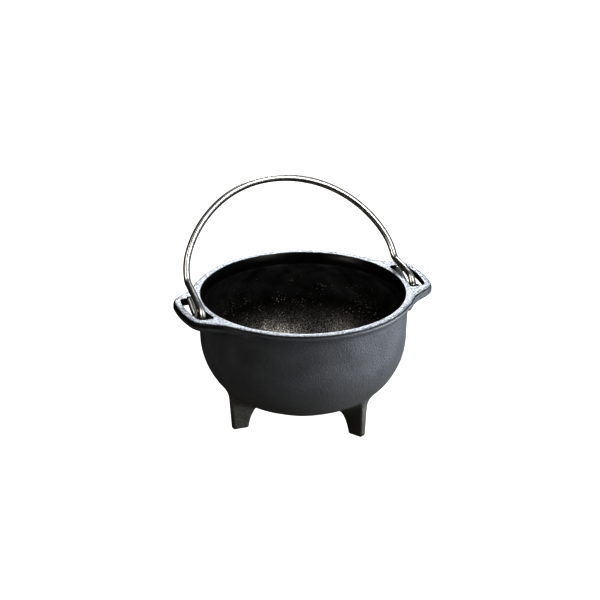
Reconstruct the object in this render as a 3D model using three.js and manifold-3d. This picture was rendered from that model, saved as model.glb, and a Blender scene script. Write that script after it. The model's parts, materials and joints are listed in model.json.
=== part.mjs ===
// Small footed cast iron kettle: a one-piece casting with two slotted ears, and a loose wire bail.
// Millimetres, +Z up. The origin is on the floor under the bowl's axis, and +X runs through an ear.

import * as THREE from 'three';
import { mergeVertices } from 'three/addons/utils/BufferGeometryUtils.js';
import Module from 'manifold-3d';

const wasm = await Module();
wasm.setup();

const DEG = Math.PI / 180;
const CLEARANCE = 0.35;

// Bowl and rim
const RIM_HEIGHT = 81;
const RIM_INNER_RADIUS = 60.5;
const RIM_WIDTH = 4.7;
const RIM_EDGE = 0.8;
const LIP_DEPTH = 3.2;
const LIP_STEP = 3.4;
const LIP_FILLET = 4.6;
const WALL = 3.5;
const WALL_TAPER = 3.2 * DEG;
const BOWL_LIFT = 9.8;
const SHOULDER_RISE = 43.4;
const BOTTOM_ARC_RADIUS = 89.4;

// Ears: flat plates flush with the rim, each with a slot that follows the bowl
const EAR_THICKNESS = 5.4;
const INNER_WEB = 3.5;
const SLOT_WIDTH = 8.6;
const SLOT_LENGTH = 32.4;
const SLOT_CORNER = 2.2;
const SLOT_RELIEF = 2;
const OUTER_BAND = 4.7;
const END_WEB = 4.6;
const FLANK_ANGLE = 147.3 * DEG;
const EAR_CORNER = 5.5;
const EAR_ROOT = 9;

// Feet: three radial fins
const FOOT_ANGLES = [60 * DEG, 180 * DEG, 300 * DEG];
const FOOT_OUTER_RADIUS = 45.1;
const FOOT_LENGTH = 10.1;
const FOOT_THICKNESS = 5.2;
const FOOT_LEAN = 1.2;
const FOOT_CORNER = 1.4;
const FOOT_ROOT_LENGTH = 9;

// Bail: lying back, with its hooks through the slots and under the outer bands
const WIRE_DIAMETER = 4;
const BAIL_LEAN = 36 * DEG;
const BAIL_TILT = 2.4 * DEG;
const ARCH_CENTRE_Y = 11.95;
const ARCH_CENTRE_DROP = 2.6;
const ARCH_END_ANGLE = 25 * DEG;
const LEG_TOP = 20.8;
const LEG_BOTTOM = 11.4;
const LEG_SPLAY = 0.8;
const LEG_SETBACK = 0.97;
const SHANK_GAP = 2.25;
const SHANK_FRONT = 4.7;
const SHANK_BACK = 6.1;
const SHANK_CLIMB = 2.7;
const SWING_GAP = 0.238;
const HOOK_TWIST = 4.5 * DEG;
const HOOK_OUTREACH = 0.9;
const HOOK_HALF_WIDTH = 5.6;
const TIP_INSET = 1.9;
const TIP_LIFT = 1.3;
const TIP_SLOPE = 0.536;

// Fineness of the round shapes
const ROUND_SIDES = 48;
const ARC_STEPS = 4;
const WIRE_SIDES = 8;
const WIRE_STEP = 1.8;

const v2 = (x, y) => new THREE.Vector2(x, y);
const v3 = (x, y, z) => new THREE.Vector3(x, y, z);
const polar = (radius, angle) => v2(radius * Math.cos(angle), radius * Math.sin(angle));

const rimOuterRadius = RIM_INNER_RADIUS + RIM_WIDTH;
const slotInnerRadius = RIM_INNER_RADIUS + INNER_WEB;
const slotOuterRadius = slotInnerRadius + SLOT_WIDTH;
const earReach = slotOuterRadius + OUTER_BAND;
const wireRadius = WIRE_DIAMETER / 2;

// The shank in side view, about the hinge line. Swung right forward it stands upright just
// behind the slot's front end, which sets how far back the hinge line is.
const rimAboveHinge = EAR_THICKNESS + CLEARANCE + wireRadius;
const shankTop = rimAboveHinge + wireRadius + SHANK_GAP;
const shankLow = v2(-SHANK_FRONT, shankTop - SHANK_CLIMB);
const shankHigh = v2(SHANK_BACK, shankTop);
const shankReach = shankHigh.cross(shankLow) / shankHigh.distanceTo(shankLow);
const hingeY = shankReach + wireRadius + SWING_GAP - SLOT_LENGTH / 2;

const hookRadius = slotInnerRadius + CLEARANCE + wireRadius;
const legBottom = hookRadius - LEG_SETBACK;
const legTop = legBottom - LEG_SPLAY;
const archRadius = Math.hypot(legTop, LEG_TOP);

// ---------- solids ----------

// A closed geometry as a solid. Triangles squeezed to nothing on a lathe's axis are dropped.
function solidOf(geometry) {
  const bare = geometry.clone();
  bare.deleteAttribute('normal');
  bare.deleteAttribute('uv');
  const merged = mergeVertices(bare, 1e-4);
  const triangles = [];
  for (let i = 0; i < merged.index.count; i += 3) {
    const [a, b, c] = merged.index.array.slice(i, i + 3);
    if (a !== b && b !== c && c !== a) triangles.push(a, b, c);
  }
  return new wasm.Manifold(new wasm.Mesh({
    numProp: 3,
    vertProperties: new Float32Array(merged.attributes.position.array),
    triVerts: new Uint32Array(triangles),
  }));
}

function geometryOf(solid) {
  const { vertProperties, triVerts } = solid.getMesh();
  const geometry = new THREE.BufferGeometry();
  geometry.setAttribute('position', new THREE.BufferAttribute(vertProperties, 3));
  geometry.setIndex(new THREE.BufferAttribute(triVerts, 1));
  return geometry;
}

function lathe(path) {
  const geometry = new THREE.LatheGeometry(path.getPoints(ARC_STEPS), ROUND_SIDES);
  return solidOf(geometry.rotateX(Math.PI / 2));
}

function plate(shape, bottom, height) {
  const options = { depth: height, bevelEnabled: false, curveSegments: 2 * ARC_STEPS };
  return new THREE.ExtrudeGeometry(shape, options).translate(0, 0, bottom);
}

// ---------- bowl ----------

// The bowl in section, inset from its outside: a shallow bottom arc round the axis, a tighter
// side arc that touches it, and a straight wall that touches the side arc.
function drawBowlSection(path, inset) {
  const wallTop = v2(rimOuterRadius - LIP_STEP, RIM_HEIGHT - LIP_DEPTH - LIP_FILLET);
  const bottomCentre = BOWL_LIFT + BOTTOM_ARC_RADIUS;
  const shoulder = BOWL_LIFT + SHOULDER_RISE;
  const shoulderRadius = wallTop.x - (wallTop.y - shoulder) * Math.tan(WALL_TAPER);
  const drop = shoulder - bottomCentre;
  const sideRadius = (shoulderRadius ** 2 + drop ** 2 - BOTTOM_ARC_RADIUS ** 2)
    / (2 * (shoulderRadius * Math.cos(WALL_TAPER) - drop * Math.sin(WALL_TAPER) - BOTTOM_ARC_RADIUS));
  const sideX = shoulderRadius - sideRadius * Math.cos(WALL_TAPER);
  const sideY = shoulder + sideRadius * Math.sin(WALL_TAPER);
  const join = Math.atan2(sideY - bottomCentre, sideX);
  path.absarc(0, bottomCentre, BOTTOM_ARC_RADIUS - inset, -Math.PI / 2, join, false);
  path.absarc(sideX, sideY, sideRadius - inset, join, -WALL_TAPER, false);
  wallTop.add(polar(-inset, -WALL_TAPER));
  path.lineTo(wallTop.x, wallTop.y);
  return wallTop;
}

// The bowl with its inside still full: it is hollowed once the ears and feet are on.
function bowlOutside() {
  const path = new THREE.Path();
  const wallTop = drawBowlSection(path, 0);
  const lipFoot = RIM_HEIGHT - LIP_DEPTH;
  path.quadraticCurveTo(wallTop.x, lipFoot, rimOuterRadius - RIM_EDGE, lipFoot);
  path.quadraticCurveTo(rimOuterRadius, lipFoot, rimOuterRadius, lipFoot + RIM_EDGE);
  path.lineTo(rimOuterRadius, RIM_HEIGHT - RIM_EDGE);
  path.quadraticCurveTo(rimOuterRadius, RIM_HEIGHT, rimOuterRadius - RIM_EDGE, RIM_HEIGHT);
  path.lineTo(0, RIM_HEIGHT);
  return lathe(path);
}

// The hollow follows the outside at the wall's thickness, and flares out to the rim's inner edge.
function bowlHollow() {
  const above = RIM_HEIGHT + WALL;
  const path = new THREE.Path();
  const wallTop = drawBowlSection(path, WALL);
  path.quadraticCurveTo(wallTop.x, RIM_HEIGHT - LIP_DEPTH, RIM_INNER_RADIUS, RIM_HEIGHT);
  path.lineTo(RIM_INNER_RADIUS, above);
  path.lineTo(0, above);
  return lathe(path);
}

// ---------- ears ----------

// Where the line through a along u meets the line through b along v.
function crossing(a, u, b, v) {
  return a.clone().addScaledVector(u, b.clone().sub(a).cross(v) / u.cross(v));
}

// Where the line through a along the unit vector u first meets a circle about the origin.
function entry(a, u, radius) {
  const along = a.dot(u);
  return a.clone().addScaledVector(u, -along - Math.sqrt(along ** 2 - a.lengthSq() + radius ** 2));
}

// The ear beyond +X. Each flank is straight, rounded into the outer arc and swept into the rim.
function earShape() {
  const bodyRadius = rimOuterRadius - CLEARANCE;
  const flank = polar(1, FLANK_ANGLE);
  const anchor = v2(slotOuterRadius, SLOT_LENGTH / 2 + END_WEB);
  const tip = entry(anchor, flank, earReach);
  const root = entry(anchor, flank, bodyRadius);
  const arcEnd = tip.angle() - EAR_CORNER / earReach;
  const rootAngle = root.angle() + EAR_ROOT / bodyRadius;
  const tangentAt = (angle) => polar(1, angle + Math.PI / 2);

  const shoulder = tip.clone().addScaledVector(flank, EAR_CORNER);
  const waist = root.clone().addScaledVector(flank, -EAR_ROOT);
  const corner = crossing(polar(earReach, arcEnd), tangentAt(arcEnd), anchor, flank);
  const sweep = crossing(polar(bodyRadius, rootAngle), tangentAt(rootAngle), anchor, flank);
  const foot = polar(bodyRadius, rootAngle);
  const start = polar(earReach, -arcEnd);

  const shape = new THREE.Shape();
  shape.absarc(0, 0, earReach, -arcEnd, arcEnd, false);
  shape.quadraticCurveTo(corner.x, corner.y, shoulder.x, shoulder.y);
  shape.lineTo(waist.x, waist.y);
  shape.quadraticCurveTo(sweep.x, sweep.y, foot.x, foot.y);
  shape.lineTo(foot.x - WALL, foot.y);
  shape.lineTo(foot.x - WALL, -foot.y);
  shape.lineTo(foot.x, -foot.y);
  shape.quadraticCurveTo(sweep.x, -sweep.y, waist.x, -waist.y);
  shape.lineTo(shoulder.x, -shoulder.y);
  shape.quadraticCurveTo(corner.x, -corner.y, start.x, start.y);
  return shape;
}

// The slot beyond +X: two arcs about the bowl's axis and two straight ends, with round corners.
function slotShape() {
  const half = SLOT_LENGTH / 2;
  const corner = (radius) => v2(Math.sqrt(radius ** 2 - half ** 2), half);
  const outer = corner(slotOuterRadius);
  const inner = corner(slotInnerRadius);
  const outerAngle = outer.angle() - SLOT_CORNER / slotOuterRadius;
  const innerAngle = inner.angle() - SLOT_CORNER / slotInnerRadius;
  const innerStart = polar(slotInnerRadius, innerAngle);
  const outerStart = polar(slotOuterRadius, -outerAngle);

  const shape = new THREE.Shape();
  shape.absarc(0, 0, slotOuterRadius, -outerAngle, outerAngle, false);
  shape.quadraticCurveTo(outer.x, half, outer.x - SLOT_CORNER, half);
  shape.lineTo(inner.x + SLOT_CORNER, half);
  shape.quadraticCurveTo(inner.x, half, innerStart.x, innerStart.y);
  shape.absarc(0, 0, slotInnerRadius, innerAngle, -innerAngle, true);
  shape.quadraticCurveTo(inner.x, -half, inner.x + SLOT_CORNER, -half);
  shape.lineTo(outer.x - SLOT_CORNER, -half);
  shape.quadraticCurveTo(outer.x, -half, outerStart.x, outerStart.y);
  return shape;
}

// The slot's cutter, with its lower edge relieved at 45 degrees for the hook to bear on.
function slotCutters() {
  const underside = RIM_HEIGHT - EAR_THICKNESS;
  const relief = new THREE.ExtrudeGeometry(slotShape(), {
    depth: SLOT_RELIEF,
    bevelThickness: SLOT_RELIEF,
    bevelSize: SLOT_RELIEF,
    bevelSegments: 1,
    curveSegments: 2 * ARC_STEPS,
  });
  relief.translate(0, 0, underside - SLOT_RELIEF);
  return [plate(slotShape(), underside, 2 * EAR_THICKNESS), relief];
}

// ---------- feet ----------

// One foot in section, x along the radius and y up: a fin with an upright outer edge, and an
// inner edge swept into the underside of the bowl.
function footShape() {
  const outside = (radius) => BOWL_LIFT + BOTTOM_ARC_RADIUS
    - Math.sqrt(BOTTOM_ARC_RADIUS ** 2 - radius ** 2);
  const inner = FOOT_OUTER_RADIUS - FOOT_LENGTH;
  const top = RIM_HEIGHT - EAR_THICKNESS;
  const rootRadius = inner - FOOT_LEAN - FOOT_ROOT_LENGTH;

  const shape = new THREE.Shape();
  shape.moveTo(inner + FOOT_CORNER, 0);
  shape.lineTo(FOOT_OUTER_RADIUS - FOOT_CORNER, 0);
  shape.quadraticCurveTo(FOOT_OUTER_RADIUS, 0, FOOT_OUTER_RADIUS, FOOT_CORNER);
  shape.lineTo(FOOT_OUTER_RADIUS + FOOT_LEAN, 2 * BOWL_LIFT);
  shape.lineTo(FOOT_OUTER_RADIUS + FOOT_LEAN, top);
  shape.lineTo(rootRadius, top);
  shape.lineTo(rootRadius, outside(rootRadius) + WALL / 2);
  shape.lineTo(rootRadius + WALL, outside(rootRadius + WALL) - CLEARANCE);
  shape.quadraticCurveTo(inner - FOOT_LEAN, BOWL_LIFT, inner, FOOT_CORNER);
  shape.quadraticCurveTo(inner, 0, inner + FOOT_CORNER, 0);
  return shape;
}

// ---------- casting ----------

function kettleCasting() {
  let solid = bowlOutside();
  const earBottom = RIM_HEIGHT - EAR_THICKNESS;
  for (const angle of [0, Math.PI]) {
    solid = solid.add(solidOf(plate(earShape(), earBottom, EAR_THICKNESS).rotateZ(angle)));
  }
  for (const angle of FOOT_ANGLES) {
    const fin = plate(footShape(), -FOOT_THICKNESS / 2, FOOT_THICKNESS);
    solid = solid.add(solidOf(fin.rotateX(Math.PI / 2).rotateZ(angle)));
  }
  solid = solid.subtract(bowlHollow());
  for (const angle of [0, Math.PI]) {
    for (const cutter of slotCutters()) {
      solid = solid.subtract(solidOf(cutter.rotateZ(angle)));
    }
  }
  return geometryOf(solid);
}

// ---------- bail ----------

// A stretch of circle in space: start is turned about the line through centre along axis.
class Bend extends THREE.Curve {
  constructor(centre, start, axis, angle) {
    super();
    Object.assign(this, { centre, arm: start.clone().sub(centre), axis, angle });
  }

  getPoint(t, target = v3(0, 0, 0)) {
    return target.copy(this.arm).applyAxisAngle(this.axis, t * this.angle).add(this.centre);
  }
}

// A run of wire through corner points, each rounded to its own bend radius.
function addRun(path, corners) {
  let from = corners[0].at;
  for (let i = 1; i < corners.length - 1; i += 1) {
    const { at, radius } = corners[i];
    const into = at.clone().sub(corners[i - 1].at).normalize();
    const out = corners[i + 1].at.clone().sub(at).normalize();
    const turn = into.angleTo(out);
    const tangent = radius * Math.tan(turn / 2);
    const start = at.clone().addScaledVector(into, -tangent);
    const axis = into.clone().cross(out).normalize();
    const centre = start.clone().addScaledVector(axis.clone().cross(into), radius);
    path.add(new THREE.LineCurve3(from, start));
    path.add(new Bend(centre, start, axis, turn));
    from = at.clone().addScaledVector(out, tangent);
  }
  path.add(new THREE.LineCurve3(from, corners.at(-1).at));
}

// A point of the arch's own plane, as a height up the plane and a distance towards +X.
function onArch(x, up) {
  const point = v3(x, 0, up).applyAxisAngle(v3(0, 1, 0), BAIL_TILT);
  point.applyAxisAngle(v3(1, 0, 0), -BAIL_LEAN);
  return point.add(v3(0, ARCH_CENTRE_Y, RIM_HEIGHT - ARCH_CENTRE_DROP));
}

// One end of the bail from its tip to the arch, on the side of +X (1) or -X (-1). The hook is
// laid out about the hinge line and then twisted about it. It comes up through the slot from
// under the outer band, and the shank leans back over the slot's rear end.
function hookCorners(side) {
  const hinge = v3(0, hingeY, RIM_HEIGHT - rimAboveHinge);
  const bearing = slotOuterRadius + HOOK_OUTREACH;
  const tipY = SLOT_LENGTH / 2 - TIP_INSET - hingeY;
  const tipZ = TIP_LIFT + (tipY - HOOK_HALF_WIDTH) * TIP_SLOPE;
  const onHook = (x, y, z, radius) => {
    const at = v3(side * x, y, z).applyAxisAngle(v3(1, 0, 0), -side * HOOK_TWIST).add(hinge);
    return { at, radius };
  };
  const archEnd = polar(archRadius, ARCH_END_ANGLE);
  const leg = v2(legTop - legBottom, LEG_TOP - LEG_BOTTOM).normalize();
  const upper = crossing(v2(legBottom, LEG_BOTTOM), leg, archEnd, v2(-archEnd.y, archEnd.x));
  const turn = Math.abs(leg.angle() - (ARCH_END_ANGLE + Math.PI / 2));
  return [
    onHook(hookRadius, tipY, tipZ, 0),
    onHook(hookRadius, HOOK_HALF_WIDTH, TIP_LIFT, 4),
    onHook(bearing, 0, 0, 3),
    onHook(hookRadius, -HOOK_HALF_WIDTH, 3, 3.5),
    onHook(hookRadius, shankLow.x, shankLow.y, 6),
    onHook(hookRadius, shankHigh.x, shankHigh.y, 20),
    { at: onArch(side * legBottom, LEG_BOTTOM), radius: 6 },
    { at: onArch(side * upper.x, upper.y), radius: archEnd.distanceTo(upper) / Math.tan(turn / 2) },
    { at: onArch(side * archEnd.x, archEnd.y), radius: 0 },
  ];
}

function bailWire() {
  const left = hookCorners(-1);
  const right = hookCorners(1).reverse();
  const path = new THREE.CurvePath();
  const centre = onArch(0, 0);
  const axis = onArch(0, 1).sub(centre).cross(onArch(1, 0).sub(centre)).normalize();
  addRun(path, left);
  path.add(new Bend(centre, left.at(-1).at, axis, Math.PI - 2 * ARCH_END_ANGLE));
  addRun(path, right);
  const section = new THREE.Shape().absarc(0, 0, wireRadius, 0, 2 * Math.PI, false);
  return new THREE.ExtrudeGeometry(section, {
    extrudePath: path,
    steps: Math.round(path.getLength() / WIRE_STEP),
    curveSegments: WIRE_SIDES / 2,
  });
}

// ---------- assembly ----------

function part(name, geometry, color, roughness, metalness) {
  const material = new THREE.MeshStandardMaterial({ color, roughness, metalness });
  const mesh = new THREE.Mesh(geometry, material);
  mesh.name = name;
  return mesh;
}

const group = new THREE.Group();
group.add(part('kettle_casting', kettleCasting(), 0x2b2c30, 0.6, 0.5));
group.add(part('bail_wire', geometryOf(solidOf(bailWire())), 0xc9c8c2, 0.25, 1));

export default group;
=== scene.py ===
import json
import math

import bpy
import numpy as np
from mathutils import Matrix, Vector


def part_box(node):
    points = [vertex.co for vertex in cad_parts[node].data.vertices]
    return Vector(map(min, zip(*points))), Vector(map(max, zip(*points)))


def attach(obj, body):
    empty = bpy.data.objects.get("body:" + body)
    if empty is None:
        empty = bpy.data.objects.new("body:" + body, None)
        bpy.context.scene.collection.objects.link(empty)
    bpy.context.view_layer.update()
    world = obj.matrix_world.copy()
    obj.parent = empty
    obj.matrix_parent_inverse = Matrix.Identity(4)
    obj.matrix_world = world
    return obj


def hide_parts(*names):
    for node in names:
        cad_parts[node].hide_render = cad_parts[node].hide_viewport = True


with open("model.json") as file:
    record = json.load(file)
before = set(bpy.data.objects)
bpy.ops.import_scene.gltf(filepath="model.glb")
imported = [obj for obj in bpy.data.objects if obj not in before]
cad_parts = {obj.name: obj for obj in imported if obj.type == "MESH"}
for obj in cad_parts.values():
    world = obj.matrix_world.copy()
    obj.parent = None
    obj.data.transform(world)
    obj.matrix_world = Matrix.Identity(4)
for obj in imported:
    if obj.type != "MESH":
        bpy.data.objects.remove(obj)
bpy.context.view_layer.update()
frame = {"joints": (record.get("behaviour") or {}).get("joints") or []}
casting_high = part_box("kettle_casting")[1]

MM = 0.001
DEG = math.pi / 180

# ---------- sizes, in millimetres, in the part's own frame ----------

RIM_HEIGHT = casting_high.z / MM
EAR_REACH = casting_high.x / MM
RIM_OUTER_RADIUS = casting_high.y / MM

RIM_WIDTH = 4.7
RIM_EDGE = 0.8
LIP_DEPTH = 3.2
LIP_STEP = 3.4
LIP_FILLET = 4.6
WALL = 3.5
WALL_TAPER = 3.2 * DEG
BOWL_LIFT = 9.8
SHOULDER_RISE = 43.4
BOTTOM_ARC_RADIUS = 89.4

EAR_THICKNESS = 5.4
SLOT_WIDTH = 8.6
SLOT_LENGTH = 32.4
SLOT_CORNER = 2.2
SLOT_RELIEF = 2.0
OUTER_BAND = 4.7
END_WEB = 4.6
FLANK_ANGLE = 147.3 * DEG
EAR_CORNER = 5.5
EAR_ROOT = 9.0

FOOT_FIRST_ANGLE = 60 * DEG
FOOT_SPACING = 120 * DEG
FOOT_OUTER_RADIUS = 45.1
FOOT_LENGTH = 10.1
FOOT_THICKNESS = 5.2
FOOT_LEAN = 1.2
FOOT_CORNER = 1.4
FOOT_ROOT_LENGTH = 9.0

WIRE_DIAMETER = 4.0
BAIL_LEAN = 36 * DEG
BAIL_TILT = 2.4 * DEG
HOOK_TWIST = 4.5 * DEG
ARCH_CENTRE_Y = 11.95
ARCH_CENTRE_DROP = 2.6
ARCH_END_ANGLE = 25 * DEG
LEG_TOP = 20.8
LEG_BOTTOM = 11.4
LEG_SPLAY = 0.8
LEG_SETBACK = 0.97
SHANK_GAP = 2.25
SHANK_FRONT = 4.7
SHANK_BACK = 6.1
SHANK_CLIMB = 2.7
HOOK_HALF_WIDTH = 5.6
TIP_INSET = 1.9
TIP_LIFT = 1.3
TIP_SLOPE = 0.536
HOOK_OUTREACH = 0.9
HEEL_RISE = 3.0
CLEARANCE = 0.35

# Bend radii of the wire's centre line, from its tip to the arch
TIP_BEND = 4.0
BEARING_BEND = 3.0
HEEL_BEND = 3.5
SHANK_BEND = 6.0
SHANK_END_BEND = 20.0
LEG_BEND = 6.0

RIM_INNER_RADIUS = RIM_OUTER_RADIUS - RIM_WIDTH
SLOT_OUTER_RADIUS = EAR_REACH - OUTER_BAND
SLOT_INNER_RADIUS = SLOT_OUTER_RADIUS - SLOT_WIDTH
WIRE_RADIUS = WIRE_DIAMETER / 2
HINGE = np.array(frame["joints"][0]["pos_m"]) / MM
HOOK_RADIUS = SLOT_INNER_RADIUS + WIRE_RADIUS + CLEARANCE
LEG_BOTTOM_X = HOOK_RADIUS - LEG_SETBACK
LEG_TOP_X = LEG_BOTTOM_X - LEG_SPLAY
ARCH_RADIUS = math.hypot(LEG_TOP_X, LEG_TOP)


# ---------- outlines ----------

def polar(radius, angle):
    return np.array([radius * math.cos(angle), radius * math.sin(angle)])


def arc(centre, radius, start, end, count=24):
    angles = np.linspace(start, end, count)[:, None]
    return np.array(centre) + radius * np.hstack([np.cos(angles), np.sin(angles)])


def sweep(a, control, b, count=12):
    """A quadratic curve from a to b that leaves and arrives along the lines to control."""
    t = np.linspace(0, 1, count)[:, None]
    a, control, b = map(np.array, (a, control, b))
    return (1 - t) ** 2 * a + 2 * t * (1 - t) * control + t ** 2 * b


def crossing(a, u, b, v):
    """Where the line through a along u meets the line through b along v."""
    gap = b - a
    return a + u * ((gap[0] * v[1] - gap[1] * v[0]) / (u[0] * v[1] - u[1] * v[0]))


def entry(a, u, radius):
    """Where the line through a along the unit vector u first meets a circle about the origin."""
    along = a @ u
    return a - u * (along + math.sqrt(along ** 2 - a @ a + radius ** 2))


def both_sides(outline):
    """A half outline that starts and ends on the axis, closed by its own mirror image."""
    mirrored = outline[::-1] * [-1, 1]
    return np.vstack([outline, mirrored])


def bowl_section(inset):
    """The bowl from the axis up to the top of its straight wall, inset from its outside.

    A flat bottom arc and a tighter side arc meet smoothly, and the side arc ends along the wall.
    """
    top = np.array([RIM_OUTER_RADIUS - LIP_STEP, RIM_HEIGHT - LIP_DEPTH - LIP_FILLET])
    bottom_centre = BOWL_LIFT + BOTTOM_ARC_RADIUS
    shoulder = BOWL_LIFT + SHOULDER_RISE
    radius = top[0] - (top[1] - shoulder) * math.tan(WALL_TAPER)
    drop = shoulder - bottom_centre
    reach = radius * math.cos(WALL_TAPER) - drop * math.sin(WALL_TAPER) - BOTTOM_ARC_RADIUS
    side = (radius ** 2 + drop ** 2 - BOTTOM_ARC_RADIUS ** 2) / (2 * reach)
    side_centre = np.array([
        radius - side * math.cos(WALL_TAPER),
        shoulder + side * math.sin(WALL_TAPER),
    ])
    join = math.atan2(side_centre[1] - bottom_centre, side_centre[0])
    return np.vstack([
        arc((0, bottom_centre), BOTTOM_ARC_RADIUS - inset, -math.pi / 2, join),
        arc(side_centre, side - inset, join, -WALL_TAPER),
        top - polar(inset, -WALL_TAPER),
    ])


def bowl_outside():
    """The bowl and its lip from outside, carried on above the rim where the ground face cuts it."""
    wall = bowl_section(0)
    lip_foot = RIM_HEIGHT - LIP_DEPTH
    edge = RIM_OUTER_RADIUS - RIM_EDGE
    over = RIM_HEIGHT + WALL
    outer = RIM_OUTER_RADIUS
    return both_sides(np.vstack([
        wall,
        sweep(wall[-1], (wall[-1][0], lip_foot), (edge, lip_foot)),
        sweep((edge, lip_foot), (outer, lip_foot), (outer, lip_foot + RIM_EDGE)),
        [[outer, RIM_HEIGHT - RIM_EDGE / 2], [outer - RIM_EDGE / 2, over], [0, over]],
    ]))


def bowl_hollow():
    """The space inside the bowl, flared out to the rim's inner edge and open above it."""
    wall = bowl_section(WALL)
    over = RIM_HEIGHT + 2 * WALL
    flare = sweep(wall[-1], (wall[-1][0], RIM_HEIGHT - LIP_DEPTH), (RIM_INNER_RADIUS, RIM_HEIGHT))
    return both_sides(np.vstack([wall, flare, [[RIM_INNER_RADIUS + 1, over], [0, over]]]))


def ear_outline():
    """The ear beyond +X: straight flanks, rounded into the outer arc and swept into the rim."""
    body = RIM_OUTER_RADIUS - CLEARANCE
    flank = polar(1, FLANK_ANGLE)
    anchor = np.array([SLOT_OUTER_RADIUS, SLOT_LENGTH / 2 + END_WEB])
    tip = entry(anchor, flank, EAR_REACH)
    root = entry(anchor, flank, body)
    arc_end = math.atan2(tip[1], tip[0]) - EAR_CORNER / EAR_REACH
    root_angle = math.atan2(root[1], root[0]) + EAR_ROOT / body
    corner = crossing(polar(EAR_REACH, arc_end), polar(1, arc_end + math.pi / 2), anchor, flank)
    turn = crossing(polar(body, root_angle), polar(1, root_angle + math.pi / 2), anchor, flank)
    half = np.vstack([
        arc((0, 0), EAR_REACH, 0, arc_end, 10),
        sweep(polar(EAR_REACH, arc_end), corner, tip + flank * EAR_CORNER, 8),
        sweep(root - flank * EAR_ROOT, turn, polar(body, root_angle), 8),
        polar(body, root_angle) - [3 * WALL, 0],
    ])
    return np.vstack([half, half[::-1] * [1, -1]])


def slot_outline():
    """The slot beyond +X: two arcs about the bowl's axis and two straight ends, corners round."""
    half = SLOT_LENGTH / 2
    outer = np.array([math.sqrt(SLOT_OUTER_RADIUS ** 2 - half ** 2), half])
    inner = np.array([math.sqrt(SLOT_INNER_RADIUS ** 2 - half ** 2), half])
    outer_end = math.atan2(half, outer[0]) - SLOT_CORNER / SLOT_OUTER_RADIUS
    inner_end = math.atan2(half, inner[0]) - SLOT_CORNER / SLOT_INNER_RADIUS
    upper = np.vstack([
        arc((0, 0), SLOT_OUTER_RADIUS, 0, outer_end, 12),
        sweep(polar(SLOT_OUTER_RADIUS, outer_end), outer, outer - [SLOT_CORNER, 0], 6),
        sweep(inner + [SLOT_CORNER, 0], inner, polar(SLOT_INNER_RADIUS, inner_end), 6),
        arc((0, 0), SLOT_INNER_RADIUS, inner_end, 0, 12),
    ])
    return np.vstack([upper, upper[::-1] * [1, -1]])


def foot_outline():
    """One foot in section, x along the radius and y up, with its top inside the bowl."""

    def under(radius):
        return BOWL_LIFT + BOTTOM_ARC_RADIUS - math.sqrt(BOTTOM_ARC_RADIUS ** 2 - radius ** 2)

    inner = FOOT_OUTER_RADIUS - FOOT_LENGTH
    root = inner - FOOT_LEAN - FOOT_ROOT_LENGTH
    top = SHOULDER_RISE
    outer_top = FOOT_OUTER_RADIUS + FOOT_LEAN
    return np.vstack([
        sweep((FOOT_OUTER_RADIUS - FOOT_CORNER, 0), (FOOT_OUTER_RADIUS, 0),
              (FOOT_OUTER_RADIUS, FOOT_CORNER), 5),
        [[outer_top, 2 * BOWL_LIFT], [outer_top, top], [root, top], [root, under(root) + WALL / 2]],
        sweep((root + WALL, under(root + WALL)), (inner - FOOT_LEAN, BOWL_LIFT),
              (inner, FOOT_CORNER), 14),
        sweep((inner, FOOT_CORNER), (inner, 0), (inner + FOOT_CORNER, 0), 5),
    ])


# ---------- signed distances ----------

def outline_distance(x, y, outline):
    """Distance to a closed outline, negative inside it."""
    best = np.full(x.shape, np.inf)
    inside = np.zeros(x.shape, bool)
    for (ax, ay), (bx, by) in zip(outline, np.roll(outline, -1, axis=0)):
        ex, ey = bx - ax, by - ay
        length = ex * ex + ey * ey
        if length < 1e-12:
            continue
        t = np.clip(((x - ax) * ex + (y - ay) * ey) / length, 0, 1)
        best = np.minimum(best, (x - ax - t * ex) ** 2 + (y - ay - t * ey) ** 2)
        if ey:
            inside ^= ((ay > y) != (by > y)) & (x < ax + (y - ay) * ex / ey)
    return np.where(inside, -1, 1) * np.sqrt(best)


class DistanceMap:
    """An outline's distance on a fine plane grid, read back between its points."""

    STEP = 0.2

    def __init__(self, outline, low, high):
        self.low = np.array(low, float)
        counts = np.ceil((np.array(high) - self.low) / self.STEP).astype(int) + 1
        xs = self.low[0] + self.STEP * np.arange(counts[0])
        ys = self.low[1] + self.STEP * np.arange(counts[1])
        self.values = outline_distance(*np.meshgrid(xs, ys, indexing="ij"), outline)

    def __call__(self, x, y):
        u = np.clip((x - self.low[0]) / self.STEP, 0, self.values.shape[0] - 1.001)
        v = np.clip((y - self.low[1]) / self.STEP, 0, self.values.shape[1] - 1.001)
        i, j = u.astype(int), v.astype(int)
        u, v = u - i, v - j
        table = self.values
        return ((table[i, j] * (1 - u) + table[i + 1, j] * u) * (1 - v)
                + (table[i, j + 1] * (1 - u) + table[i + 1, j + 1] * u) * v)


def blend_min(a, b, width):
    """The nearer of two solids, with a fillet where they meet."""
    h = np.maximum(width - np.abs(a - b), 0) / width
    return np.minimum(a, b) - h * h * width / 4


def blend_max(a, b, width):
    return -blend_min(-a, -b, width)


def slab(across, along, edge):
    """A plate from its distance across and its distance within the outline, edges rounded."""
    outside = np.hypot(np.maximum(across + edge, 0), np.maximum(along + edge, 0))
    return np.minimum(np.maximum(across, along) + edge, 0) + outside - edge


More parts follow.
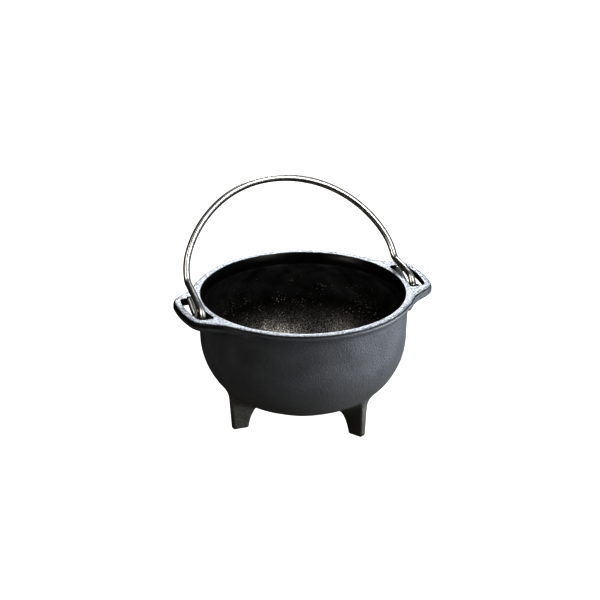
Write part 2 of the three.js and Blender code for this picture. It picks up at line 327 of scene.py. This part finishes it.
# Each map covers the part of its plane in which the casting's surface can lie
MAP_REACH = 82
MAP_TOP = 90
EAR_MAP_SIDE = 44
OUTSIDE = DistanceMap(bowl_outside(), (0, -4), (MAP_REACH, MAP_TOP))
HOLLOW = DistanceMap(bowl_hollow(), (0, 0), (MAP_REACH, MAP_TOP))
EAR = DistanceMap(ear_outline(), (36, 0), (MAP_REACH, EAR_MAP_SIDE))
SLOT = DistanceMap(slot_outline(), (52, 0), (MAP_REACH, EAR_MAP_SIDE))
FOOT = DistanceMap(foot_outline(), (14, -4), (62, 50))

# How far the fillets and rounded edges reach, in millimetres; the draft is a slope
FOOT_DRAFT = 0.035
FOOT_EDGE = 1.1
FOOT_FILLET = 4.5
EAR_EDGE = 1.5
EAR_FILLET = 3.0
SLOT_EDGE = 0.9
OUTER_EDGE = 2.4
GROUND_EDGE = 0.45


def casting_distance(p):
    """Distance to the kettle's casting for points in an array of shape (..., 3)."""
    x, y, z = p[..., 0], p[..., 1], p[..., 2]
    r = np.hypot(x, y)
    solid = OUTSIDE(r, z)

    # The ear is made double, centred on the ground plane, which cuts its upper half away
    across = np.abs(z - RIM_HEIGHT) - EAR_THICKNESS
    ear = slab(across, EAR(np.abs(x), np.abs(y)), EAR_EDGE)
    solid = blend_min(solid, ear, EAR_FILLET)

    angle = np.arctan2(y, x) - FOOT_FIRST_ANGLE
    angle = (angle + FOOT_SPACING / 2) % FOOT_SPACING - FOOT_SPACING / 2
    along, side = r * np.cos(angle), r * np.sin(angle)
    thickness = FOOT_THICKNESS / 2 - FOOT_EDGE / 2 + FOOT_DRAFT * np.clip(z, 0, 2 * BOWL_LIFT)
    foot = slab(np.abs(side) - thickness, FOOT(along, z), FOOT_EDGE)
    solid = blend_min(solid, foot, FOOT_FILLET)

    solid = blend_max(solid, z - RIM_HEIGHT, OUTER_EDGE)
    solid = blend_max(solid, -HOLLOW(r, z), GROUND_EDGE)
    # The slot widens towards the ear's underside
    relief = np.clip(RIM_HEIGHT - EAR_THICKNESS + SLOT_RELIEF - z, 0, SLOT_RELIEF)
    return blend_max(solid, -(SLOT(np.abs(x), np.abs(y)) - relief), SLOT_EDGE)


def gradient(p, step=0.05):
    slope = np.empty_like(p)
    for axis in range(3):
        shift = np.zeros(3)
        shift[axis] = step
        slope[:, axis] = (casting_distance(p + shift) - casting_distance(p - shift)) / (2 * step)
    return slope


# ---------- the surface of a distance field ----------

# Waves the sand mould leaves in the skin: their lengths and heights in millimetres
LONG_WAVE, LONG_WAVE_HEIGHT = 17, 0.05
SHORT_WAVE, SHORT_WAVE_HEIGHT = 6, 0.015
WAVE_COUNT = 14


def spaced(*runs):
    """Grid lines from runs of (start, end, spacing), each run ending where the next begins."""
    lines = []
    for a, b, step in runs:
        lines.append(np.linspace(a, b, max(1, round((b - a) / step)), endpoint=False))
    return np.concatenate([*lines, [runs[-1][1]]])


def ring_angles():
    """Angles round the axis, closer together across the two ears."""
    ear, plain = 0.7 * DEG, 1.12 * DEG
    quarter = spaced((0, 38 * DEG, ear), (38 * DEG, math.pi / 2, plain))
    half = np.concatenate([quarter, math.pi - quarter[-2::-1]])
    return np.concatenate([half, math.pi + half[1:-1]])


def numbered_cells(inside):
    """A number for each cell that has corners on both sides of the surface, -1 for the others."""
    corners_inside = np.zeros([size - 1 for size in inside.shape], np.int8)
    for i in (0, 1):
        for j in (0, 1):
            for k in (0, 1):
                block = [slice(n, n + size - 1) for n, size in zip((i, j, k), inside.shape)]
                corners_inside += inside[tuple(block)]
    crossed = (corners_inside > 0) & (corners_inside < 8)
    cell = np.full(crossed.shape, -1)
    cell[crossed] = np.arange(crossed.sum())
    return cell


def cell_points(values, cell, lines):
    """For each numbered cell, the middle of the places where its edges cross the surface."""
    corner = np.nonzero(cell >= 0)
    place = np.zeros((len(corner[0]), 3))
    hits = np.zeros(len(corner[0]))
    for axis in range(3):
        others = [n for n in range(3) if n != axis]
        for u in (0, 1):
            for v in (0, 1):
                a = [index.copy() for index in corner]
                a[others[0]] += u
                a[others[1]] += v
                b = [index.copy() for index in a]
                b[axis] += 1
                at_a, at_b = values[tuple(a)], values[tuple(b)]
                cut = (at_a < 0) != (at_b < 0)
                share = np.where(cut, at_a / np.where(cut, at_a - at_b, 1), 0)
                point = np.stack([lines[n][a[n]] for n in range(3)], axis=-1)
                point[:, axis] += share * (lines[axis][b[axis]] - lines[axis][a[axis]])
                place += np.where(cut[:, None], point, 0)
                hits += cut
    return place / hits[:, None]


def cell_quads(inside, cell):
    """The quads that join the four cells round each grid edge that crosses the surface."""
    around_count = cell.shape[1]
    turn = ((-1, -1), (0, -1), (0, 0), (-1, 0))

    def quads(a, b, around):
        found = np.nonzero(a != b)
        ring = np.stack([cell[around(*found, n)] for n in range(4)], 1)
        flip = ~a[found]
        ring[flip] = ring[flip][:, ::-1]
        return ring

    def round_r(i, j, k, n):
        return i, (j + turn[n][0]) % around_count, k + 1 + turn[n][1]

    def round_t(i, j, k, n):
        return i + 1 + turn[n][1], j, k + 1 + turn[n][0]

    def round_z(i, j, k, n):
        return i + 1 + turn[n][0], (j + turn[n][1]) % around_count, k

    return np.vstack([
        quads(inside[:-1, :-1, 1:-1], inside[1:, :-1, 1:-1], round_r),
        quads(inside[1:-1, :-1, 1:-1], inside[1:-1, 1:, 1:-1], round_t),
        quads(inside[1:-1, :-1, :-1], inside[1:-1, :-1, 1:], round_z),
    ])


def surface_net(distance, radii, angles, heights):
    """Vertices and faces of the zero surface on a grid of radius, angle (all round) and height."""
    r, t, z = np.meshgrid(radii, angles, heights, indexing="ij")
    grid = distance(np.stack([r * np.cos(t), r * np.sin(t), z], axis=-1))
    values = np.concatenate([grid, grid[:, :1]], axis=1)
    inside = values < 0
    cell = numbered_cells(inside)

    all_round = np.append(angles, angles[0] + 2 * math.pi)
    r, t, z = cell_points(values, cell, (radii, all_round, heights)).T
    vertices = np.stack([r * np.cos(t), r * np.sin(t), z], 1)
    faces = [list(quad) for quad in cell_quads(inside, cell)]

    # Where the surface crosses the axis, one face closes the ring of cells round it
    for k in np.nonzero(inside[0, 0, :-1] != inside[0, 0, 1:])[0]:
        ring = [int(n) for n in cell[0, :, k]]
        faces.append(ring if inside[0, 0, k] else ring[::-1])
    return vertices, faces


def waves(p, length, count, seed):
    """Smooth noise of about unit size whose bumps are about that many millimetres long."""
    rng = np.random.default_rng(seed)
    total = np.zeros(len(p))
    for _ in range(count):
        direction = rng.normal(size=3)
        direction *= 2 * math.pi / (length * rng.uniform(0.7, 1.4) * np.linalg.norm(direction))
        total += np.sin(p @ direction + rng.uniform(0, 2 * math.pi))
    return total / math.sqrt(count / 2)


def mesh_object(name, vertices, faces, materials):
    mesh = bpy.data.meshes.new(name)
    mesh.from_pydata(vertices * MM, [], faces)
    mesh.update()
    mesh.polygons.foreach_set("use_smooth", [True] * len(mesh.polygons))
    for material in materials:
        mesh.materials.append(material)
    obj = bpy.data.objects.new(name, mesh)
    bpy.context.scene.collection.objects.link(obj)
    return obj


def settled(vertices, steps=3):
    """The same vertices, moved along the slope of the distance until they lie on the surface."""
    for _ in range(steps):
        slope = gradient(vertices)
        distance = casting_distance(vertices)
        vertices = vertices - slope * (distance / np.maximum((slope ** 2).sum(1), 0.2))[:, None]
    return vertices


def mould_relief(p):
    """How far the sand mould's unevenness lifts the skin, left off the ground face and the soles."""
    long_waves = LONG_WAVE_HEIGHT * waves(p, LONG_WAVE, WAVE_COUNT, 3)
    short_waves = SHORT_WAVE_HEIGHT * waves(p, SHORT_WAVE, WAVE_COUNT, 4)
    below_rim = np.clip((RIM_HEIGHT - 0.5 - p[:, 2]) / 1.5, 0, 1)
    above_sole = np.clip(p[:, 2] / 2, 0, 1)
    return (long_waves + short_waves) * (below_rim * above_sole)


def make_casting(material):
    # Closer together at the feet, the rim and the ears, where the casting has its small edges
    radii = spaced((0, 28, 2.4), (28, 48, 1.0), (48, 57, 1.6), (57, 79, 0.55))
    heights = spaced((-1.5, 24, 0.9), (24, 68, 2.3), (68, 82, 0.5))
    vertices, faces = surface_net(casting_distance, radii, ring_angles(), heights)
    vertices = settled(vertices)
    normal = gradient(vertices, 0.2)
    normal /= np.linalg.norm(normal, axis=1)[:, None]
    vertices += normal * mould_relief(vertices)[:, None]
    return mesh_object("iron_casting", vertices, faces, [material])


# ---------- the wire ----------

WIRE_SIDES = 20
END_ROUNDING = 0.35
WOBBLE, WOBBLE_LENGTH = 0.12, 60


def unit(v):
    return v / np.linalg.norm(v)


def turned(v, axis, angle):
    return np.array(Matrix.Rotation(angle, 3, Vector(axis)) @ Vector(v))


def bent_run(corners, spacing):
    """Points along a wire through corner points, each rounded to its own bend radius."""
    points = []
    at = corners[0][0]
    for (before, _), (corner, radius), (after, _) in zip(corners, corners[1:], corners[2:]):
        into, out = unit(corner - before), unit(after - corner)
        turn = math.acos(np.clip(into @ out, -1, 1))
        reach = radius * math.tan(turn / 2)
        start = corner - into * reach
        axis = unit(np.cross(into, out))
        centre = start + np.cross(axis, into) * radius
        steps = max(2, round(np.linalg.norm(start - at) / spacing))
        points += [at + (start - at) * n / steps for n in range(steps)]
        steps = max(3, round(radius * turn / spacing))
        points += [centre + turned(start - centre, axis, turn * n / steps) for n in range(steps)]
        at = corner + out * reach
    end = corners[-1][0]
    steps = max(2, round(np.linalg.norm(end - at) / spacing))
    return points + [at + (end - at) * n / steps for n in range(steps + 1)]


def on_arch(x, up):
    """A point of the arch's plane, by its distance towards +X and its height up the plane."""
    point = turned((x, 0, up), (0, 1, 0), BAIL_TILT)
    point = turned(point, (1, 0, 0), -BAIL_LEAN)
    return point + [0, ARCH_CENTRE_Y, RIM_HEIGHT - ARCH_CENTRE_DROP]


def hook_corners(side):
    """One end of the bail, from its tip to the arch, on the side of +X (1) or -X (-1)."""
    bearing = SLOT_OUTER_RADIUS + HOOK_OUTREACH
    hinge = HINGE * [0, 1, 1]
    tip_y = SLOT_LENGTH / 2 - TIP_INSET - hinge[1]
    tip_z = TIP_LIFT + (tip_y - HOOK_HALF_WIDTH) * TIP_SLOPE
    shank_top = RIM_HEIGHT - hinge[2] + WIRE_RADIUS + SHANK_GAP

    def on_hook(x, y, z, radius):
        return turned((side * x, y, z), (1, 0, 0), -side * HOOK_TWIST) + hinge, radius

    arch_end = polar(ARCH_RADIUS, ARCH_END_ANGLE)
    leg = unit(np.array([LEG_TOP_X - LEG_BOTTOM_X, LEG_TOP - LEG_BOTTOM]))
    leg_foot = np.array([LEG_BOTTOM_X, LEG_BOTTOM])
    upper = crossing(leg_foot, leg, arch_end, polar(1, ARCH_END_ANGLE + math.pi / 2))
    turn = abs(math.atan2(leg[1], leg[0]) - (ARCH_END_ANGLE + math.pi / 2))
    upper_radius = np.linalg.norm(arch_end - upper) / math.tan(turn / 2)
    return [
        on_hook(HOOK_RADIUS, tip_y, tip_z, 0),
        on_hook(HOOK_RADIUS, HOOK_HALF_WIDTH, TIP_LIFT, TIP_BEND),
        on_hook(bearing, 0, 0, BEARING_BEND),
        on_hook(HOOK_RADIUS, -HOOK_HALF_WIDTH, HEEL_RISE, HEEL_BEND),
        on_hook(HOOK_RADIUS, -SHANK_FRONT, shank_top - SHANK_CLIMB, SHANK_BEND),
        on_hook(HOOK_RADIUS, SHANK_BACK, shank_top, SHANK_END_BEND),
        (on_arch(side * LEG_BOTTOM_X, LEG_BOTTOM), LEG_BEND),
        (on_arch(side * upper[0], upper[1]), upper_radius),
        (on_arch(side * arch_end[0], arch_end[1]), 0),
    ]


def bail_line(spacing):
    left = bent_run(hook_corners(-1), spacing)
    right = bent_run(hook_corners(1), spacing)[::-1]
    sweep_angle = math.pi - 2 * ARCH_END_ANGLE
    steps = round(ARCH_RADIUS * sweep_angle / (1.6 * spacing))
    over = []
    for n in range(1, steps):
        x, up = polar(ARCH_RADIUS, math.pi - ARCH_END_ANGLE - sweep_angle * n / steps)
        over.append(on_arch(x, up))
    return np.array(left + over + right)


def wire_rings():
    """Centre, direction and radius of each ring of the wire's tube, its cut ends rounded."""
    line = bail_line(0.8)
    line = line[np.append(True, np.linalg.norm(np.diff(line, axis=0), axis=1) > 1e-3)]
    tangent = np.gradient(line, axis=0)
    tangent /= np.linalg.norm(tangent, axis=1)[:, None]
    face = WIRE_RADIUS - END_ROUNDING
    end = ((0, face - 0.25), (0.08, face + 0.02), (END_ROUNDING, WIRE_RADIUS - 0.06))
    rings = [(line[0] + tangent[0] * along, tangent[0], radius) for along, radius in end]
    rings += [(centre, way, WIRE_RADIUS) for centre, way in zip(line[2:-2], tangent[2:-2])]
    rings += [(line[-1] - tangent[-1] * along, tangent[-1], radius) for along, radius in end[::-1]]
    return rings


def tube(rings, sides):
    """Vertices and faces of a tube through those rings, closed at both ends."""
    side = unit(np.cross(rings[0][1], [0, 0, 1]))
    vertices, faces = [], []
    for n, (centre, along, radius) in enumerate(rings):
        side = unit(side - along * (side @ along))
        up = np.cross(along, side)
        for k in range(sides):
            a = 2 * math.pi * k / sides
            vertices.append(centre + radius * (side * math.cos(a) + up * math.sin(a)))
        if n:
            base = (n - 1) * sides
            for k in range(sides):
                beside = (k + 1) % sides
                faces.append((base + k, base + beside, base + sides + beside, base + sides + k))
    faces.append(tuple(range(sides))[::-1])
    faces.append(tuple(range(len(vertices) - sides, len(vertices))))
    return np.array(vertices), faces


def make_wire(material):
    vertices, faces = tube(wire_rings(), WIRE_SIDES)
    # Hand bending leaves the wire very slightly wavy
    wobble = np.stack([waves(vertices, WOBBLE_LENGTH, 6, seed) for seed in (11, 12, 13)], 1)
    free = np.clip((vertices[:, 2] - RIM_HEIGHT - 12) / 15, 0, 1)
    vertices += WOBBLE * wobble * free[:, None]
    return mesh_object("bail_wire_bright", vertices, faces, [material])


# ---------- materials ----------

SKIN_GREY = (0.0225, 0.0232, 0.0245, 1)
SKIN_PALE = (0.0310, 0.0320, 0.0340, 1)
SKIN_WARM = (0.0370, 0.0345, 0.0290, 1)
SKIN_OF_FEET = (0.0200, 0.0186, 0.0156, 1)
SHOULDER_PAINTED_SHADE = (0.0040, 0.0040, 0.0042, 1)
# The hollow's black is the seasoning's own colour, made darker still as painted shade.
SEASONING_BLACK_AND_SHADE = (0.0014, 0.0014, 0.0013, 1)
PAINTED_GLINT_FLECK = (0.24, 0.22, 0.18, 1)
PAINTED_SHEEN_DARK = (0.045, 0.044, 0.042, 1)
PAINTED_SHEEN_BRIGHT = (0.55, 0.542, 0.52, 1)
GROUND_DARK = (0.13, 0.14, 0.165, 1)
GROUND_BRIGHT = (0.46, 0.485, 0.53, 1)
PIT_BLACK = (0.02, 0.02, 0.022, 1)
WIRE_DARK = (0.36, 0.355, 0.34, 1)
WIRE_BRIGHT = (0.50, 0.49, 0.47, 1)
FLOOR_DARK = (0.14, 0.14, 0.14, 1)
FLOOR_PALE = (0.15, 0.15, 0.15, 1)
FLOOR_GLOW = 0.82


class Nodes:
    """A material's node tree, with short calls to add and link nodes."""

    def __init__(self, name):
        self.material = bpy.data.materials.new(name)
        self.material.use_nodes = True
        self.tree = self.material.node_tree
        self.surface = self.tree.nodes["Principled BSDF"]
        self.object = self.add("ShaderNodeTexCoord").outputs["Object"]

    def add(self, kind, **inputs):
        node = self.tree.nodes.new(kind)
        for key, value in inputs.items():
            self.feed(node.inputs[key.replace("_", " ")], value)
        return node

    def feed(self, socket, value):
        if isinstance(value, bpy.types.NodeSocket):
            self.tree.links.new(value, socket)
        else:
            socket.default_value = value

    def millimetres(self, size):
        """Coordinates in which one unit is that many millimetres."""
        node = self.add("ShaderNodeVectorMath")
        node.operation = "SCALE"
        self.feed(node.inputs[0], self.object)
        node.inputs["Scale"].default_value = 1 / (size * MM)
        return node.outputs[0]

    def noise(self, size, detail=4.0, roughness=0.55):
        node = self.add("ShaderNodeTexNoise", Vector=self.millimetres(size), Scale=1.0,
                        Detail=detail, Roughness=roughness)
        return node.outputs["Fac"]

    def cells(self, size):
        node = self.add("ShaderNodeTexVoronoi", Vector=self.millimetres(size), Scale=1.0)
        return node.outputs["Distance"]

    def mapped(self, value, low, high, to_low, to_high):
        node = self.add("ShaderNodeMapRange")
        for socket, number in zip(node.inputs[:5], (value, low, high, to_low, to_high)):
            self.feed(socket, number)
        return node.outputs[0]

    def rise(self, value, low, high):
        """0 up to the low value, 1 from the high value on."""
        return self.mapped(value, low, high, 0, 1)

    def fall(self, value, low, high):
        """1 up to the low value, 0 from the high value on."""
        return self.mapped(value, low, high, 1, 0)

    def times(self, a, b):
        return self.math("MULTIPLY", a, b)

    def math(self, operation, a, b):
        node = self.add("ShaderNodeMath")
        node.operation = operation
        self.feed(node.inputs[0], a)
        self.feed(node.inputs[1], b)
        return node.outputs[0]

    def mix(self, factor, a, b):
        node = self.add("ShaderNodeMix")
        node.data_type = "RGBA"
        for socket, value in zip((node.inputs[0], node.inputs[6], node.inputs[7]), (factor, a, b)):
            self.feed(socket, value)
        return node.outputs[2]

    def blend(self, factor, a, b):
        node = self.add("ShaderNodeMix")
        for socket, value in zip((node.inputs[0], node.inputs[2], node.inputs[3]), (factor, a, b)):
            self.feed(socket, value)
        return node.outputs[0]

    def bump(self, height, distance, strength=1.0, below=None, sunk=False):
        """Relief of that many millimetres over the normal below it."""
        if isinstance(distance, bpy.types.NodeSocket):
            distance = self.math("MULTIPLY", distance, MM)
        else:
            distance *= MM
        node = self.add("ShaderNodeBump", Height=height, Distance=distance, Strength=strength)
        node.invert = sunk
        if below is not None:
            self.feed(node.inputs["Normal"], below)
        return node.outputs[0]

    def position(self):
        return self.add("ShaderNodeSeparateXYZ", Vector=self.object).outputs


def ground_face(n, z, upward):
    """1 on the flat top of the rim and ears, with patches that the grinding left dull."""
    wear = n.times(n.math("SUBTRACT", n.noise(3.4, 5, 0.6), 0.5), 0.15)
    flat = n.rise(n.math("ADD", upward, wear), 0.80, 0.95)
    high = n.rise(z, (RIM_HEIGHT - 0.9) * MM, (RIM_HEIGHT - 0.5) * MM)
    return n.times(flat, high)


def hollow_inside(n, radius, upward):
    """1 on everything inside the rim's inner edge that faces up."""
    inner = n.fall(radius, (RIM_INNER_RADIUS - 0.2) * MM, RIM_INNER_RADIUS * MM)
    return n.times(inner, n.rise(upward, 0.0, 0.08))


def outside_tone(n, radius, z):
    """Patchy grey skin, warmer lower down, dark on the feet, and painted shade in black just under
    the ground face.
    """
    patch = n.rise(n.noise(15, 3), 0.3, 0.7)
    tone = n.mix(patch, SKIN_GREY, SKIN_PALE)
    tone = n.mix(n.mapped(z, 8 * MM, 50 * MM, 0.8, 0), tone, SKIN_WARM)
    tone = n.mix(n.fall(z, 8 * MM, 17 * MM), tone, SKIN_OF_FEET)
    # Painted shade: the upper few millimetres of the sides of the rim and the ears are made black,
    # standing in for shade there.
    on_ear = n.rise(radius, (RIM_OUTER_RADIUS + 0.3) * MM, (RIM_OUTER_RADIUS + 3) * MM)
    ear_height = n.rise(z, (RIM_HEIGHT - 3.2) * MM, (RIM_HEIGHT - 2.2) * MM)
    rim_height = n.rise(z, (RIM_HEIGHT - 1.5) * MM, (RIM_HEIGHT - 1.0) * MM)
    shoulder = n.math("MAXIMUM", n.times(on_ear, ear_height), rim_height)
    return n.mix(shoulder, tone, SHOULDER_PAINTED_SHADE)


def hollow_tone(n, z, low):
    """Black seasoning above, darkened further as painted shade, with a few pale flecks as painted
    glints, and a painted sheen of glints low in the hollow.
    """
    # Painted glints: a few pale flecks in the black, thinning out towards the rim.
    spread = n.times(n.rise(n.noise(11, 3), 0.44, 0.62), n.fall(z, 55 * MM, 72 * MM))
    painted_fleck = n.times(n.fall(n.cells(1.7), 0.15, 0.26), spread)
    # Painted sheen: bright glinting colour low in the hollow, standing in for the lights' reflection
    # there.
    painted_glint = n.rise(n.noise(0.85, 3, 0.6), 0.42, 0.66)
    return n.mix(low, n.mix(painted_fleck, SEASONING_BLACK_AND_SHADE, PAINTED_GLINT_FLECK), n.mix(painted_glint, PAINTED_SHEEN_DARK, PAINTED_SHEEN_BRIGHT))


def open_pits(n):
    """1 in the casting's pores, where they are opened by the grinding."""
    return n.times(n.fall(n.cells(2.4), 0.10, 0.20), n.rise(n.noise(7, 2), 0.46, 0.56))


def ground_tone(n, pits):
    mottle = n.rise(n.noise(1.5, 4, 0.7), 0.38, 0.60)
    return n.mix(pits, n.mix(mottle, GROUND_DARK, GROUND_BRIGHT), PIT_BLACK)


def iron_roughness(n, grain, ground, hollow, low):
    inside = n.blend(low, 0.32, n.mapped(grain, 0.3, 0.7, 0.28, 0.38))
    skin = n.blend(hollow, n.mapped(grain, 0.3, 0.7, 0.42, 0.58), inside)
    return n.blend(ground, skin, n.mapped(n.noise(1.2, 4), 0.3, 0.7, 0.34, 0.52))


def iron_relief(n, grain, hollow, pits):
    """Sand grain in three sizes, weaker in the hollow, and the pits of the ground face."""
    coarse = n.bump(n.noise(2.6, 3), n.blend(hollow, 0.12, 0.04), 0.7)
    sandy = n.bump(n.cells(0.9), n.blend(hollow, 0.14, 0.04), 0.7, coarse)
    fine = n.bump(grain, n.blend(hollow, 0.26, 0.09), 1.0, sandy)
    return n.bump(pits, 0.25, 0.9, fine, True)


def iron_material():
    n = Nodes("seasoned_cast_iron")
    x, y, z = n.position()
    radius = n.math("POWER", n.math("ADD", n.times(x, x), n.times(y, y)), 0.5)
    normal = n.add("ShaderNodeNewGeometry").outputs["Normal"]
    upward = n.add("ShaderNodeSeparateXYZ", Vector=normal).outputs[2]
    grain = n.noise(1.0, 4, 0.6)
    pits = open_pits(n)
    ground = ground_face(n, z, upward)
    hollow = hollow_inside(n, radius, upward)
    # Painted sheen: where the bright glinting colour goes, low in the hollow and fading upwards; it
    # is also made metallic.
    low = n.times(hollow, n.math("POWER", n.fall(z, 20 * MM, 55 * MM), 2.0))

    skin = n.mix(hollow, outside_tone(n, radius, z), hollow_tone(n, z, low))
    n.feed(n.surface.inputs["Base Color"], n.mix(ground, skin, ground_tone(n, pits)))
    n.feed(n.surface.inputs["Metallic"], n.math("MAXIMUM", n.times(ground, 0.85), low))
    n.feed(n.surface.inputs["Roughness"], iron_roughness(n, grain, ground, hollow, low))
    n.feed(n.surface.inputs["Normal"], iron_relief(n, grain, hollow, pits))
    n.surface.inputs["Specular IOR Level"].default_value = 0.13
    return n.material


def wire_material():
    n = Nodes("bright_steel_wire")
    streak = n.noise(7, 3)
    fine = n.noise(0.6, 3)
    n.feed(n.surface.inputs["Base Color"], n.mix(n.rise(streak, 0.35, 0.65), WIRE_DARK, WIRE_BRIGHT))
    n.surface.inputs["Metallic"].default_value = 1.0
    n.feed(n.surface.inputs["Roughness"], n.mapped(fine, 0.3, 0.7, 0.26, 0.38))
    n.feed(n.surface.inputs["Normal"], n.bump(fine, 0.01, 0.5))
    return n.material


def floor_material():
    n = Nodes("pale_floor")
    n.feed(n.surface.inputs["Base Color"], n.mix(n.noise(60, 2), FLOOR_DARK, FLOOR_PALE))
    n.surface.inputs["Roughness"].default_value = 0.7
    n.surface.inputs["Specular IOR Level"].default_value = 0.2
    # It glows, so that it stays evenly white behind the object
    n.surface.inputs["Emission Color"].default_value = (1, 1, 1, 1)
    n.surface.inputs["Emission Strength"].default_value = FLOOR_GLOW
    return n.material


# ---------- camera, lights and floor ----------

VIEW_AZIMUTH = -22 * DEG
VIEW_ELEVATION = 23.45 * DEG
VIEW_DISTANCE = 2600.0
PIXELS_PER_MM = 1.702
FRAME_PIXELS = 600
RIM_RIGHT_OF_MIDDLE = 1.8
RIM_ABOVE_MIDDLE = 4.8

# Light colours, and distances and sizes in metres
NEUTRAL = (1.0, 1.0, 1.0)
WARM = (1.0, 0.96, 0.91)
DAYLIGHT = (0.88, 0.94, 1.0)
DIM_SIDE = (0.01, 0.01, 0.01, 1)
WINDOW_SIDE = (0.30, 0.33, 0.37, 1)
FLOOR_REACH = 6.0
SOFT = (0.3, 0.3)
SMALL = (0.2, 0.2)


def direction(azimuth, elevation):
    """From the object towards a place at that azimuth (0 is -Y, growing towards +X) and elevation."""
    return Vector((
        math.sin(azimuth) * math.cos(elevation),
        -math.cos(azimuth) * math.cos(elevation),
        math.sin(elevation),
    ))


def make_camera():
    data = bpy.data.cameras.new("camera")
    data.sensor_width = 36.0
    data.lens = data.sensor_width * VIEW_DISTANCE * PIXELS_PER_MM / FRAME_PIXELS
    data.clip_start, data.clip_end = 0.1, 20.0
    camera = bpy.data.objects.new("camera", data)
    back = direction(VIEW_AZIMUTH, VIEW_ELEVATION)
    turn = (-back).to_track_quat("-Z", "Y")
    right, up = turn @ Vector((1, 0, 0)), turn @ Vector((0, 1, 0))
    target = Vector((0, 0, RIM_HEIGHT)) - right * RIM_RIGHT_OF_MIDDLE - up * RIM_ABOVE_MIDDLE
    camera.location = (target + back * VIEW_DISTANCE) * MM
    camera.rotation_mode = "QUATERNION"
    camera.rotation_quaternion = turn
    bpy.context.scene.collection.objects.link(camera)
    bpy.context.scene.camera = camera


def make_light(name, azimuth, elevation, distance, size, power, colour):
    """An area light at that azimuth and elevation in degrees, turned towards the object."""
    data = bpy.data.lights.new(name, "AREA")
    data.shape = "RECTANGLE"
    data.size, data.size_y = size
    data.energy = power
    data.color = colour
    light = bpy.data.objects.new(name, data)
    away = direction(azimuth * DEG, elevation * DEG)
    light.location = Vector((0, 0, RIM_HEIGHT * MM * 0.6)) + away * distance
    light.rotation_mode = "QUATERNION"
    light.rotation_quaternion = (-away).to_track_quat("-Z", "Y")
    bpy.context.scene.collection.objects.link(light)
    return light


def make_world():
    """Dim surroundings, brighter and cooler towards the right-hand window side and overhead."""
    world = bpy.data.worlds.new("studio")
    world.use_nodes = True
    tree = world.node_tree
    place = tree.nodes.new("ShaderNodeTexCoord")
    side = tree.nodes.new("ShaderNodeVectorMath")
    side.operation = "DOT_PRODUCT"
    side.inputs[1].default_value = direction(80 * DEG, 25 * DEG)
    tree.links.new(place.outputs["Generated"], side.inputs[0])
    ramp = tree.nodes.new("ShaderNodeValToRGB")
    ramp.color_ramp.elements[0].position = 0.1
    ramp.color_ramp.elements[0].color = DIM_SIDE
    ramp.color_ramp.elements[1].position = 0.95
    ramp.color_ramp.elements[1].color = WINDOW_SIDE
    tree.links.new(side.outputs["Value"], ramp.inputs["Fac"])
    tree.links.new(ramp.outputs["Color"], tree.nodes["Background"].inputs["Color"])
    bpy.context.scene.world = world


def make_studio(lit_by_window):
    """Floor, surroundings and lights; the window light falls only on the collection's objects."""
    square = [(-1, -1, 0), (1, -1, 0), (1, 1, 0), (-1, 1, 0)]
    corners = np.array(square) * FLOOR_REACH / MM
    floor = mesh_object("floor", corners, [(0, 1, 2, 3)], [floor_material()])
    # Left out of reflections, so that the bright wire keeps dark edges against it
    floor.visible_glossy = False
    make_world()
    make_light("overhead", 0, 90, 1.2, (1.4, 1.4), 1.2, NEUTRAL)
    make_light("back_key", 160, 34, 1.0, SOFT, 2.6, (1.0, 0.99, 0.97))
    make_light("front_right", 26, 50, 1.0, SOFT, 4.5, WARM)
    make_light("front_left", -81, 50, 1.0, SOFT, 1.6, WARM)
    make_light("low_right", 22, 27, 1.0, SMALL, 0.9, (1.0, 0.98, 0.96))
    make_light("low_left", -74, 25, 1.0, SMALL, 3.2, (1.0, 0.96, 0.90))
    window = make_light("window", 62, -1, 1.2, (1.5, 0.14), 105, DAYLIGHT)
    window.light_linking.receiver_collection = lit_by_window
    bpy.context.scene.view_settings.view_transform = "Standard"
    bpy.context.scene.view_settings.look = "High Contrast"


# ---------- assembly ----------

casting = make_casting(iron_material())
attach(casting, "kettle")
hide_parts("kettle_casting")

wire = make_wire(wire_material())
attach(wire, "bail")
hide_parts("bail_wire")

# The window light is flagged off the bail, whose edges would otherwise burn out
lit_by_window = bpy.data.collections.new("lit_by_window")
lit_by_window.objects.link(casting)
make_camera()
make_studio(lit_by_window)
